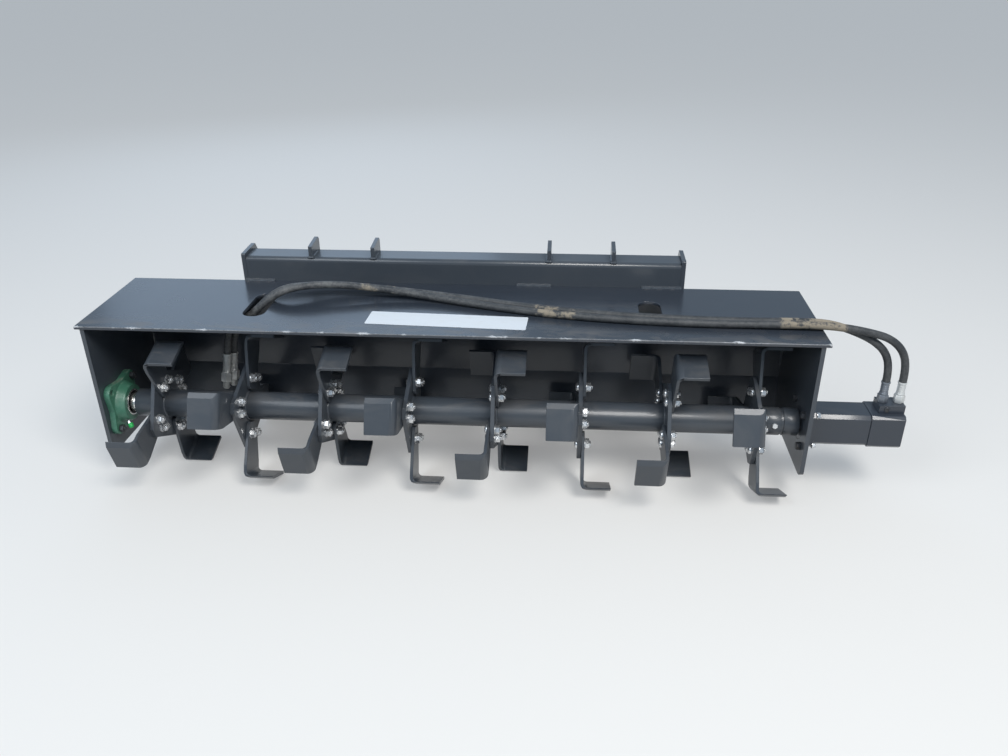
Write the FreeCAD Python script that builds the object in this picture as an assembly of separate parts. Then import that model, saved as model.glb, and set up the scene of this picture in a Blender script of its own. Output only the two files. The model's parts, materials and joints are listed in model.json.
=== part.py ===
import FreeCAD, Part
import math
import os

os.makedirs("parts", exist_ok=True)

# Rotary tiller for the front of a skid-steer loader, in millimetres.
# X runs along the rotor to the right, Y runs away from the open front towards the loader,
# Z is up. The origin lies on the ground, in the middle of the hitch frame's foot.

# Sheet and plate thicknesses
DECK_PLATE = 8.0
WALL_PLATE = 8.0
SIDE_PLATE = 10.0
HITCH_SHEET = 8.0
SHEET_BEND_INSIDE = 4.0
HITCH_BAR = 10.0

# Hitch frame, made to the common skid-steer quick attach pattern
HITCH_WIDTH = 1150.0
HITCH_DEPTH = 100.0
HITCH_TOP = 490.0
TOP_BEAM_HEIGHT = 125.0
TOP_BEAM_LEDGE = 71.0
HOOK_LIP_REACH = 29.0
BOTTOM_BEAM_HEIGHT = 140.0
BOTTOM_LEDGE = 45.0
END_PLATE_FRONT_RISE = 8.0
END_PLATE_BACK_RISE = 10.0
END_PLATE_CORNER = 4.0
END_PLATE_CUT_DEPTH = 16.0
END_PLATE_CUT_HEIGHT = 24.0
CENTRE_PLATE_WIDTH = 470.0
SIGHT_HOLE_BORE = 30.0
SIGHT_HOLE_FROM_BRACKET = 105.0
SIGHT_HOLE_HEIGHT = 75.0
LUG_OFFSETS = (-391.0, -227.0, 229.0, 393.0)
LUG_PLATE = 10.0
LUG_FRONT_RISE = 29.0
LUG_BACK_RISE = 35.0
LUG_SETBACK = 4.0
LUG_OVER_LIP = 6.0
LUG_CHAMFER = 6.0
BRACKET_INSET = 45.0
BRACKET_WIDTH = 230.0
BRACKET_SHEET = 8.0
BRACKET_KNEE_DROP = 40.0
BRACKET_SLOT_RISE = 24.0
BRACKET_SLOT_HEIGHT = 24.0
PIN_SLOT_LENGTH = 52.0
PIN_SLOT_WIDTH = 18.0
PIN_SLOT_SPACING = 110.0
FOOT_SLOT_MARGIN = 14.0

# Deck, back wall and side plates
DECK_LEFT_REACH = 875.0
DECK_RIGHT_REACH = 864.0
DECK_OVERHANG = 11.0
TIP_TO_WALL = 52.0
TIP_TO_DECK = 56.0
AXIS_TO_FRONT_EDGE = 82.0
HOSE_SLOT_OFFSET = 478.0
HOSE_SLOT_WIDTH = 54.0
HOSE_SLOT_LENGTH = 146.0
HOSE_SLOT_BACK_MARGIN = 92.0
WALL_FOLD_HEIGHT = 184.0
WALL_FOOT_HEIGHT = 68.0
WALL_FOOT_FORWARD = 26.0
WALL_FOLD_INSIDE = 3.0
SIDE_FOOT_HEIGHT = 74.0
SIDE_FRONT_SETBACK = 4.0
SIDE_CORNER = 14.0

# Rotor
TIP_RADIUS = 180.0
TUBE_RADIUS = 35.0
TUBE_END_REACH = 26.0
STATIONS = 8
LEFT_STATION_INSET = 126.0
RIGHT_STATION_INSET = 109.0
STATION_TWIST = 48.5
FRONT_TINE_ANGLE = 24.0
TINES_PER_FLANGE = 4
FLANGE_PLATE = 10.0
FLANGE_SIDE = 168.0
FLANGE_CHAMFER = 18.0
TINE_PLATE = 8.0
TINE_BLADE_REACH = 74.0
TINE_BLADE_WIDTH = 86.0
TINE_ROOT_WIDTH = 52.0
TINE_ROOT_RADIUS = 41.0
TINE_SHOULDER_RADIUS = 146.0
TINE_ROOT_CHAMFER = 8.0
TINE_BEND_OUTSIDE = 18.0
TINE_BEVEL = 13.0
TINE_EDGE = 2.0
SEAT_GAP = 0.3

# Left bearing and its shaft
SHAFT_RADIUS = 20.0
RUNNING_FIT = 0.05
BEARING_SIDE = 142.0
BEARING_LOBE = 21.0
BEARING_WAIST = 12.0
BEARING_BOLT_INSET = 21.0
BEARING_BOLT_RADIUS = 8.0
SMALL_BORE_SIDES = 12
BEARING_BASE = 15.0
BEARING_HEIGHT = 36.0
BEARING_BOSS_FOOT_RADIUS = 54.0
BEARING_BOSS_TOP_RADIUS = 45.0
COLLAR_RADIUS = 24.0
COLLAR_LENGTH = 18.0
COLLAR_GAP = 1.0

# Hydraulic motor and its coupling
COUPLING_RADIUS = 34.0
COUPLING_GROOVE_DEPTH = 3.0
COUPLING_GROOVE_WIDTH = 7.0
COUPLING_GAP = 5.0
MOTOR_SHAFT_RADIUS = 16.0
MOTOR_SHAFT_SETBACK = 2.0
MOTOR_PILOT_RADIUS = 41.0
MOTOR_FLANGE_SIDE = 94.0
MOTOR_FLANGE_CHAMFER = 10.0
MOTOR_FLANGE_PLATE = 18.0
MOTOR_BODY_SIDE = 82.0
MOTOR_BODY_CHAMFER = 9.0
MOTOR_BODY_LENGTH = 128.0
MOTOR_CAP_SIDE = 85.0
MOTOR_CAP_CHAMFER = 7.0
MOTOR_CAP_LENGTH = 78.0
PORT_SPACING = 38.0
PORT_BLOCK_LENGTH = 60.0
PORT_BLOCK_DEPTH = 46.0
PORT_BLOCK_HEIGHT = 20.0
PORT_NUT_ACROSS = 26.0
PORT_NUT_HEIGHT = 20.0
PORT_FERRULE_RADIUS = 13.0
PORT_FERRULE_LENGTH = 34.0

# Hoses and the crimped fittings at their loose ends; round parts here have flat sides
HOSE_RADIUS = 9.0
HOSE_REST_GAP = 0.4
HOSE_SIDES = 8
FERRULE_RADIUS = 12.0
FERRULE_LENGTH = 52.0
HOSE_NUT_ACROSS = 26.0
HOSE_NUT_LENGTH = 24.0
HOSE_STUB_RADIUS = 9.5
HOSE_STUB_LENGTH = 20.0


def tine_drop(angle):
    # How far below the axis the lowest corner of a tine at this angle reaches
    corners = [
        (TIP_RADIUS, -TINE_BLADE_WIDTH / 2),
        (TIP_RADIUS, TINE_BLADE_WIDTH / 2 - TINE_BEVEL),
        (TIP_RADIUS - TINE_PLATE + TINE_EDGE, TINE_BLADE_WIDTH / 2),
    ]
    turn = math.radians(angle)
    return max(-out * math.sin(turn) - along * math.cos(turn) for out, along in corners)


# Angles of the tines on even and odd flanges, from the open front upwards
TINE_STEP = 360.0 / TINES_PER_FLANGE
EVEN_ANGLES = [FRONT_TINE_ANGLE + TINE_STEP * i for i in range(TINES_PER_FLANGE)]
ODD_ANGLES = [angle + STATION_TWIST for angle in EVEN_ANGLES]

# Places that follow from the sizes above; the rotor stands on its lowest tines
AXIS_Z = max(tine_drop(angle) for angle in EVEN_ANGLES + ODD_ANGLES)
HITCH_FRONT = -HITCH_DEPTH / 2
HITCH_BACK = HITCH_DEPTH / 2
AXIS_Y = HITCH_FRONT - WALL_PLATE - TIP_TO_WALL - TIP_RADIUS
DECK_FRONT = AXIS_Y - AXIS_TO_FRONT_EDGE
DECK_UNDER = AXIS_Z + TIP_RADIUS + TIP_TO_DECK
DECK_TOP = DECK_UNDER + DECK_PLATE
LEFT_OUTER = DECK_OVERHANG - DECK_LEFT_REACH
LEFT_INNER = LEFT_OUTER + SIDE_PLATE
RIGHT_OUTER = DECK_RIGHT_REACH - DECK_OVERHANG
RIGHT_INNER = RIGHT_OUTER - SIDE_PLATE
WALL_INNER = HITCH_FRONT - WALL_PLATE
HOSE_SLOT_BACK = HITCH_FRONT - HOSE_SLOT_BACK_MARGIN
BRACKET_OFFSET = HITCH_WIDTH / 2 - HITCH_BAR - BRACKET_INSET - BRACKET_WIDTH / 2
SIGHT_HOLE_OFFSET = BRACKET_OFFSET - SIGHT_HOLE_FROM_BRACKET
FIRST_STATION = LEFT_INNER + LEFT_STATION_INSET
LAST_STATION = RIGHT_INNER - RIGHT_STATION_INSET
STATION_PITCH = (LAST_STATION - FIRST_STATION) / (STATIONS - 1)
BLADE_GAP_MIDDLE = FIRST_STATION + STATION_PITCH / 2
TUBE_END = LAST_STATION + TUBE_END_REACH
MOTOR_CAP_START = RIGHT_OUTER + MOTOR_FLANGE_PLATE + MOTOR_BODY_LENGTH
MOTOR_CAP_END = MOTOR_CAP_START + MOTOR_CAP_LENGTH
PORT_MIDDLE = MOTOR_CAP_END - PORT_BLOCK_LENGTH / 2
PORT_TOP = AXIS_Z + MOTOR_CAP_SIDE / 2 + PORT_BLOCK_HEIGHT
PORT_FERRULE_TOP = PORT_TOP + PORT_NUT_HEIGHT + PORT_FERRULE_LENGTH


def point(x, y, z):
    return FreeCAD.Vector(x, y, z)


def save(name, shape):
    shape.exportStep("parts/" + name + ".step")


def box(x_low, x_high, y_low, y_high, z_low, z_high):
    corner = point(x_low, y_low, z_low)
    return Part.makeBox(x_high - x_low, y_high - y_low, z_high - z_low, corner)


def rounded_outline(corners):
    # A closed wire through (point, radius) corners, each rounded to its own radius
    edges = []
    starts = []
    ends = []
    middles = []
    count = len(corners)
    for i, (here, radius) in enumerate(corners):
        before = corners[i - 1][0]
        after = corners[(i + 1) % count][0]
        to_before = (before - here).normalize()
        to_after = (after - here).normalize()
        half = to_before.getAngle(to_after) / 2
        cut = radius / math.tan(half)
        starts.append(here + to_before * cut)
        ends.append(here + to_after * cut)
        inward = (to_before + to_after).normalize()
        middles.append(here + inward * (radius / math.sin(half) - radius))
    for i, (here, radius) in enumerate(corners):
        if radius > 0:
            edges.append(Part.Arc(starts[i], middles[i], ends[i]).toShape())
        edges.append(Part.LineSegment(ends[i], starts[(i + 1) % count]).toShape())
    return Part.Wire(edges)


def side_profile(outline, x_low, x_high):
    # Extrude a (y, z, radius) outline from x_low to x_high
    wire = rounded_outline([(point(x_low, y, z), radius) for y, z, radius in outline])
    return Part.Face(wire).extrude(point(x_high - x_low, 0, 0))


def flat_profile(outline, z_low, z_high):
    # Extrude an (x, y, radius) outline from z_low to z_high
    wire = rounded_outline([(point(x, y, z_low), radius) for x, y, radius in outline])
    return Part.Face(wire).extrude(point(0, 0, z_high - z_low))


def chamfered_square(side, chamfer, y_middle, z_middle):
    half = side / 2
    inner = half - chamfer
    outline = []
    for sy, sz in ((-1, -1), (1, -1), (1, 1), (-1, 1)):
        near_y = (y_middle + sy * half, z_middle + sz * inner, 0)
        near_z = (y_middle + sy * inner, z_middle + sz * half, 0)
        outline += [near_y, near_z] if sy == sz else [near_z, near_y]
    return outline


def bar_x(radius, x_low, x_high, y=AXIS_Y, z=AXIS_Z):
    return Part.makeCylinder(radius, x_high - x_low, point(x_low, y, z), point(1, 0, 0))


def polygon_wire(radius, sides, middle, direction):
    # A regular polygon round middle, square to direction, with the area of the round section
    area_factor = math.sqrt(math.tau / sides / math.sin(math.tau / sides))
    corner_radius = radius * area_factor
    turn = FreeCAD.Rotation(point(0, 0, 1), direction)
    corners = []
    for i in range(sides):
        angle = math.tau * i / sides
        flat = point(corner_radius * math.cos(angle), corner_radius * math.sin(angle), 0)
        corners.append(middle + turn.multVec(flat))
    return Part.makePolygon(corners + corners[:1])


def prism(radius, sides, base, direction, length):
    axis = FreeCAD.Vector(direction).normalize()
    return Part.Face(polygon_wire(radius, sides, base, axis)).extrude(axis * length)


def hex_prism(across, base, direction, length):
    # A hexagon of the given width across flats; its round equal has the same area
    radius = across * math.sqrt(math.sqrt(3) / 2 / math.pi)
    return prism(radius, 6, base, direction, length)


def obround(x_middle, y_low, y_high, width, z_low, z_high):
    half = width / 2
    outline = [
        (x_middle - half, y_low, half * 0.999),
        (x_middle + half, y_low, half * 0.999),
        (x_middle + half, y_high, half * 0.999),
        (x_middle - half, y_high, half * 0.999),
    ]
    return flat_profile(outline, z_low, z_high)


def make_deck():
    deck = box(
        -DECK_LEFT_REACH,
        DECK_RIGHT_REACH,
        DECK_FRONT,
        HITCH_FRONT,
        DECK_UNDER,
        DECK_TOP,
    )
    for side in (-1, 1):
        slot = obround(
            side * HOSE_SLOT_OFFSET,
            HOSE_SLOT_BACK - HOSE_SLOT_LENGTH,
            HOSE_SLOT_BACK,
            HOSE_SLOT_WIDTH,
            DECK_UNDER - 1,
            DECK_TOP + 1,
        )
        deck = deck.cut(slot)
    save("deck_plate", deck)


def make_back_wall():
    # The lower part leans forward below the fold
    foot_back = HITCH_FRONT - WALL_FOOT_FORWARD
    outline = [
        (HITCH_FRONT, DECK_UNDER, 0),
        (HITCH_FRONT, WALL_FOLD_HEIGHT, WALL_FOLD_INSIDE),
        (foot_back, WALL_FOOT_HEIGHT, 0),
        (foot_back - WALL_PLATE, WALL_FOOT_HEIGHT, 0),
        (WALL_INNER, WALL_FOLD_HEIGHT, WALL_FOLD_INSIDE + WALL_PLATE),
        (WALL_INNER, DECK_UNDER, 0),
    ]
    save("back_panel", side_profile(outline, LEFT_INNER, RIGHT_INNER))


def make_side_plates():
    front = DECK_FRONT + SIDE_FRONT_SETBACK
    foot_back = HITCH_FRONT - WALL_FOOT_FORWARD
    outline = [
        (front, DECK_UNDER, 0),
        (front, SIDE_FOOT_HEIGHT, SIDE_CORNER),
        (foot_back, SIDE_FOOT_HEIGHT, SIDE_CORNER),
        (HITCH_FRONT, WALL_FOLD_HEIGHT, 0),
        (HITCH_FRONT, DECK_UNDER, 0),
    ]
    left = side_profile(outline, LEFT_OUTER, LEFT_INNER)
    save("side_plate_left", left)
    right = side_profile(outline, RIGHT_INNER, RIGHT_OUTER)
    hole = bar_x(MOTOR_PILOT_RADIUS + SEAT_GAP, RIGHT_INNER - 1, RIGHT_OUTER + 1)
    save("side_plate_right", right.cut(hole))


def make_top_beam():
    # A bent sheet: tall front web, flat ledge and a hook lip turned down at 45 degrees
    sheet = HITCH_SHEET
    inside = SHEET_BEND_INSIDE
    outside = inside + sheet
    lip_cut = sheet * math.tan(math.radians(45) / 2)
    lip_drop = sheet / math.sqrt(2)
    ledge_back = HITCH_FRONT + TOP_BEAM_LEDGE
    lip_back = ledge_back + HOOK_LIP_REACH
    outline = [
        (HITCH_FRONT, HITCH_TOP - TOP_BEAM_HEIGHT, 0),
        (HITCH_FRONT, HITCH_TOP, outside),
        (ledge_back, HITCH_TOP, outside),
        (lip_back, HITCH_TOP - HOOK_LIP_REACH, 0),
        (lip_back - lip_drop, HITCH_TOP - HOOK_LIP_REACH - lip_drop, 0),
        (ledge_back - lip_cut, HITCH_TOP - sheet, inside),
        (HITCH_FRONT + sheet, HITCH_TOP - sheet, inside),
        (HITCH_FRONT + sheet, HITCH_TOP - TOP_BEAM_HEIGHT, 0),
    ]
    half = HITCH_WIDTH / 2 - HITCH_BAR
    save("hitch_top_beam", side_profile(outline, -half, half))


def make_bottom_beam():
    # A channel open to the loader, with two sight holes through its web
    sheet = HITCH_SHEET
    inside = SHEET_BEND_INSIDE
    outside = inside + sheet
    ledge_back = HITCH_FRONT + BOTTOM_LEDGE
    outline = [
        (HITCH_FRONT, 0, outside),
        (HITCH_FRONT, BOTTOM_BEAM_HEIGHT, outside),
        (ledge_back, BOTTOM_BEAM_HEIGHT, 0),
        (ledge_back, BOTTOM_BEAM_HEIGHT - sheet, 0),
        (HITCH_FRONT + sheet, BOTTOM_BEAM_HEIGHT - sheet, inside),
        (HITCH_FRONT + sheet, sheet, inside),
        (HITCH_BACK, sheet, 0),
        (HITCH_BACK, 0, 0),
    ]
    half = HITCH_WIDTH / 2 - HITCH_BAR
    beam = side_profile(outline, -half, half)
    radius = SIGHT_HOLE_BORE / 2
    for side in (-1, 1):
        start = point(side * SIGHT_HOLE_OFFSET, HITCH_FRONT - 1, SIGHT_HOLE_HEIGHT)
        hole = Part.makeCylinder(radius, HITCH_SHEET + 2, start, point(0, 1, 0))
        beam = beam.cut(hole)
        for step in (-0.5, 0.5):
            middle = side * BRACKET_OFFSET + step * PIN_SLOT_SPACING
            beam = beam.cut(box(
                middle - PIN_SLOT_LENGTH / 2,
                middle + PIN_SLOT_LENGTH / 2,
                HITCH_BACK - FOOT_SLOT_MARGIN - PIN_SLOT_WIDTH,
                HITCH_BACK - FOOT_SLOT_MARGIN,
                -1,
                sheet + 1,
            ))
    save("hitch_bottom_beam", beam)


def make_lock_brackets():
    # Bent plates that lean from the channel's ledge to its foot
    ledge_back = HITCH_FRONT + BOTTOM_LEDGE
    knee = BOTTOM_BEAM_HEIGHT - BRACKET_KNEE_DROP
    sheet = BRACKET_SHEET
    lean = math.atan2(HITCH_BACK - sheet - ledge_back, knee - HITCH_SHEET)
    knee_rise = sheet * math.tan(lean / 2)
    outline = [
        (ledge_back, BOTTOM_BEAM_HEIGHT, 0),
        (ledge_back, knee, 0),
        (HITCH_BACK - sheet, HITCH_SHEET, 0),
        (HITCH_BACK, HITCH_SHEET, 0),
        (HITCH_BACK, HITCH_SHEET + sheet, 0),
        (ledge_back + sheet, knee + knee_rise, 0),
        (ledge_back + sheet, BOTTOM_BEAM_HEIGHT, 0),
    ]
    slot_low = HITCH_SHEET + BRACKET_SLOT_RISE
    slot_high = slot_low + BRACKET_SLOT_HEIGHT
    for side, name in ((-1, "left"), (1, "right")):
        middle = side * BRACKET_OFFSET
        half = BRACKET_WIDTH / 2
        bracket = side_profile(outline, middle - half, middle + half)
        for step in (-0.5, 0.5):
            slot = middle + step * PIN_SLOT_SPACING
            bracket = bracket.cut(box(
                slot - PIN_SLOT_LENGTH / 2,
                slot + PIN_SLOT_LENGTH / 2,
                ledge_back - 1,
                HITCH_BACK + 1,
                slot_low,
                slot_high,
            ))
        save("lock_bracket_" + name, bracket)


def make_end_plates():
    # The upper back corner is cut off along the hook lip
    back_top = HITCH_TOP + END_PLATE_BACK_RISE
    cut_start = HITCH_BACK - END_PLATE_CUT_DEPTH
    outline = [
        (HITCH_FRONT, 0, 0),
        (HITCH_FRONT, HITCH_TOP + END_PLATE_FRONT_RISE, END_PLATE_CORNER),
        (cut_start, back_top, END_PLATE_CORNER),
        (HITCH_BACK, back_top - END_PLATE_CUT_HEIGHT, 0),
        (HITCH_BACK, 0, 0),
    ]
    half = HITCH_WIDTH / 2
    save("hitch_end_plate_left", side_profile(outline, -half, -half + HITCH_BAR))
    save("hitch_end_plate_right", side_profile(outline, half - HITCH_BAR, half))


def make_centre_plate():
    half = CENTRE_PLATE_WIDTH / 2
    plate = box(
        -half,
        half,
        HITCH_FRONT,
        HITCH_FRONT + HITCH_SHEET,
        BOTTOM_BEAM_HEIGHT,
        HITCH_TOP - TOP_BEAM_HEIGHT,
    )
    save("hitch_centre_plate", plate)


def make_lugs():
    # Gussets that stand on the ledge and reach a little over the hook lip
    ledge_back = HITCH_FRONT + TOP_BEAM_LEDGE
    lug_back = ledge_back + LUG_OVER_LIP
    outline = [
        (HITCH_FRONT + LUG_SETBACK, HITCH_TOP, 0),
        (HITCH_FRONT + LUG_SETBACK, HITCH_TOP + LUG_FRONT_RISE, 0),
        (lug_back - LUG_CHAMFER, HITCH_TOP + LUG_BACK_RISE, 0),
        (lug_back, HITCH_TOP + LUG_BACK_RISE - LUG_CHAMFER, 0),
        (lug_back, HITCH_TOP - LUG_OVER_LIP, 0),
        (ledge_back, HITCH_TOP, 0),
    ]
    lugs = []
    for offset in LUG_OFFSETS:
        lugs.append(side_profile(outline, offset - LUG_PLATE / 2, offset + LUG_PLATE / 2))
    save("hitch_lugs", Part.makeCompound(lugs))


def make_bearing():
    # A lobe at each bolt, and sides drawn in between them
    base = LEFT_INNER
    half = BEARING_SIDE / 2
    waist = half - BEARING_WAIST
    outline = []
    for sy, sz in ((-1, -1), (1, -1), (1, 1), (-1, 1)):
        outline.append((AXIS_Y + sy * half, AXIS_Z + sz * half, BEARING_LOBE))
        if sy == sz:
            outline.append((AXIS_Y, AXIS_Z + sz * waist, 0))
        else:
            outline.append((AXIS_Y + sy * waist, AXIS_Z, 0))
    flange = side_profile(outline, base, base + BEARING_BASE)
    boss = Part.makeCone(
        BEARING_BOSS_FOOT_RADIUS,
        BEARING_BOSS_TOP_RADIUS,
        BEARING_HEIGHT - BEARING_BASE,
        point(base + BEARING_BASE, AXIS_Y, AXIS_Z),
        point(1, 0, 0),
    )
    bore = bar_x(SHAFT_RADIUS + RUNNING_FIT, base - 1, base + BEARING_HEIGHT + 1)
    housing = flange.fuse(boss).cut(bore)
    bolt = half - BEARING_BOLT_INSET
    for sy, sz in ((-1, -1), (1, -1), (1, 1), (-1, 1)):
        start = point(base - 1, AXIS_Y + sy * bolt, AXIS_Z + sz * bolt)
        along = point(1, 0, 0)
        hole = prism(BEARING_BOLT_RADIUS, SMALL_BORE_SIDES, start, along, BEARING_HEIGHT)
        housing = housing.cut(hole)
    save("bearing_housing", housing)


def make_motor():
    flange_outline = chamfered_square(MOTOR_FLANGE_SIDE, MOTOR_FLANGE_CHAMFER, AXIS_Y, AXIS_Z)
    flange_end = RIGHT_OUTER + MOTOR_FLANGE_PLATE
    flange = side_profile(flange_outline, RIGHT_OUTER, flange_end)
    pilot = bar_x(MOTOR_PILOT_RADIUS, RIGHT_INNER, RIGHT_OUTER)
    bore = bar_x(MOTOR_SHAFT_RADIUS + RUNNING_FIT, RIGHT_INNER - 1, flange_end + 1)
    save("motor_flange", flange.fuse(pilot).cut(bore))
    body_outline = chamfered_square(MOTOR_BODY_SIDE, MOTOR_BODY_CHAMFER, AXIS_Y, AXIS_Z)
    save("motor_body", side_profile(body_outline, flange_end, MOTOR_CAP_START))
    cap_outline = chamfered_square(MOTOR_CAP_SIDE, MOTOR_CAP_CHAMFER, AXIS_Y, AXIS_Z)
    cap = side_profile(cap_outline, MOTOR_CAP_START, MOTOR_CAP_END)
    save("motor_end_cap", cap)
    block = box(
        PORT_MIDDLE - PORT_BLOCK_LENGTH / 2,
        PORT_MIDDLE + PORT_BLOCK_LENGTH / 2,
        AXIS_Y - PORT_BLOCK_DEPTH / 2,
        AXIS_Y + PORT_BLOCK_DEPTH / 2,
        AXIS_Z + MOTOR_CAP_SIDE / 2,
        PORT_TOP,
    )
    save("port_block", block)


def make_port_fitting(name, x):
    up = point(0, 0, 1)
    nut = hex_prism(PORT_NUT_ACROSS, point(x, AXIS_Y, PORT_TOP), up, PORT_NUT_HEIGHT)
    nut_top = point(x, AXIS_Y, PORT_TOP + PORT_NUT_HEIGHT)
    ferrule = prism(PORT_FERRULE_RADIUS, HOSE_SIDES, nut_top, up, PORT_FERRULE_LENGTH)
    save(name, nut.fuse(ferrule))


def make_hose_tube(name, route):
    # Straight runs joined by tangent arcs, each as large as its shorter run allows
    corners = [FreeCAD.Vector(*place) for place in route]
    edges = []
    radii = []
    start = corners[0]
    for i in range(1, len(corners) - 1):
        into = corners[i] - corners[i - 1]
        out = corners[i + 1] - corners[i]
        turn = into.getAngle(out)
        reach = 0.45 * min(into.Length, out.Length)
        radius = reach / math.tan(turn / 2)
        radii.append(radius)
        into.normalize()
        out.normalize()
        arc_start = corners[i] - into * reach
        arc_end = corners[i] + out * reach
        inward = (out - into).normalize()
        middle = corners[i] + inward * (radius / math.cos(turn / 2) - radius)
        edges.append(Part.LineSegment(start, arc_start).toShape())
        edges.append(Part.Arc(arc_start, middle, arc_end).toShape())
        start = arc_end
    edges.append(Part.LineSegment(start, corners[-1]).toShape())
    path = Part.Wire(edges)
    start_direction = (corners[1] - corners[0]).normalize()
    section = polygon_wire(HOSE_RADIUS, HOSE_SIDES, corners[0], start_direction)
    tube = path.makePipeShell([section], True, False)
    expected = math.pi * HOSE_RADIUS ** 2 * path.Length
    print(name, "length", round(path.Length), "volume share", round(tube.Volume / expected, 4))
    print(name, "arc radii", [round(radius) for radius in radii])
    save(name, tube)


def make_hose_end(name, route):
    tip = FreeCAD.Vector(*route[-1])
    along = (tip - FreeCAD.Vector(*route[-2])).normalize()
    ferrule = prism(FERRULE_RADIUS, HOSE_SIDES, tip, along, FERRULE_LENGTH)
    nut_base = tip + along * FERRULE_LENGTH
    nut = hex_prism(HOSE_NUT_ACROSS, nut_base, along, HOSE_NUT_LENGTH)
    stub_base = nut_base + along * HOSE_NUT_LENGTH
    stub = prism(HOSE_STUB_RADIUS, HOSE_SIDES, stub_base, along, HOSE_STUB_LENGTH)
    save(name, ferrule.fuse(nut).fuse(stub))


def make_hoses():
    # Each route runs from its port over the deck and down the left slot, then hangs between
    # the blades of the first two flanges. The middle points are chosen by hand, as x, y and the
    # height above a hose that lies on the deck.
    lying = DECK_TOP + HOSE_RADIUS + HOSE_REST_GAP
    port_outer = PORT_MIDDLE + PORT_SPACING / 2
    port_inner = PORT_MIDDLE - PORT_SPACING / 2
    outer_route = [
        (port_outer, AXIS_Y, PORT_FERRULE_TOP - lying),
        (port_outer, AXIS_Y, -78),
        (1036, AXIS_Y - 3, -26),
        (984, AXIS_Y - 8, 10),
        (918, AXIS_Y - 13, 24),
        (838, AXIS_Y - 16, 11),
        (726, AXIS_Y - 14, 1),
        (560, AXIS_Y - 6, 0),
        (350, -264, 0),
        (120, -196, 0),
        (-110, -146, 0),
        (-265, -136, 3),
        (-362, -150, 20),
        (-418, -172, 26),
        (-460, -191, 9),
        (-496, -192, -26),
        (-527, -181, -46),
        (-555, -159, -62),
        (-580, -137, -83),
        (-602, -120, -111),
        (BLADE_GAP_MIDDLE + 8, -115, -147),
        (BLADE_GAP_MIDDLE + 5, -124, -185),
    ]
    inner_route = [
        (port_inner, AXIS_Y, PORT_FERRULE_TOP - lying),
        (port_inner, AXIS_Y, -82),
        (1000, AXIS_Y + 1, -32),
        (952, AXIS_Y + 6, 1),
        (888, AXIS_Y + 10, 12),
        (804, AXIS_Y + 12, 3),
        (672, AXIS_Y + 17, 0),
        (480, AXIS_Y + 28, 0),
        (260, -210, 0),
        (30, -140, 0),
        (-170, -106, 1),
        (-295, -105, 4),
        (-372, -121, 22),
        (-422, -146, 25),
        (-463, -167, 8),
        (-497, -169, -27),
        (-529, -153, -52),
        (-555, -126, -77),
        (-578, -100, -105),
        (-598, -79, -139),
        (BLADE_GAP_MIDDLE + 11, -72, -180),
        (BLADE_GAP_MIDDLE + 6, -84, -223),
    ]
    for name, route in (("pressure", outer_route), ("return", inner_route)):
        places = [(x, y, lying + rise) for x, y, rise in route]
        make_hose_tube("hose_" + name, places)
        make_hose_end("hose_end_" + name, places)


def make_rotor_shafts():
    bearing_face = LEFT_INNER + BEARING_HEIGHT
    collar_low = bearing_face + COLLAR_GAP
    collar_high = collar_low + COLLAR_LENGTH
    tube_low = collar_high + COLLAR_GAP
    journal = bar_x(SHAFT_RADIUS, LEFT_INNER + COLLAR_GAP, tube_low)
    save("rotor_tube", bar_x(TUBE_RADIUS, tube_low, TUBE_END).fuse(journal))
    collar = bar_x(COLLAR_RADIUS, collar_low, collar_high)
    save("shaft_collar", collar.cut(bar_x(SHAFT_RADIUS, LEFT_INNER, 0)))
    coupling_end = RIGHT_INNER - COUPLING_GAP
    coupling = bar_x(COUPLING_RADIUS, TUBE_END, coupling_end)
    groove_middle = (TUBE_END + coupling_end) / 2
    groove_low = groove_middle - COUPLING_GROOVE_WIDTH / 2
    groove_high = groove_middle + COUPLING_GROOVE_WIDTH / 2
    ring = bar_x(COUPLING_RADIUS + 1, groove_low, groove_high)
    ring = ring.cut(bar_x(COUPLING_RADIUS - COUPLING_GROOVE_DEPTH, groove_low, groove_high))
    shaft_end = RIGHT_OUTER + MOTOR_FLANGE_PLATE - MOTOR_SHAFT_SETBACK
    motor_shaft = bar_x(MOTOR_SHAFT_RADIUS, coupling_end, shaft_end)
    save("rotor_coupling", coupling.cut(ring).fuse(motor_shaft))


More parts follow.
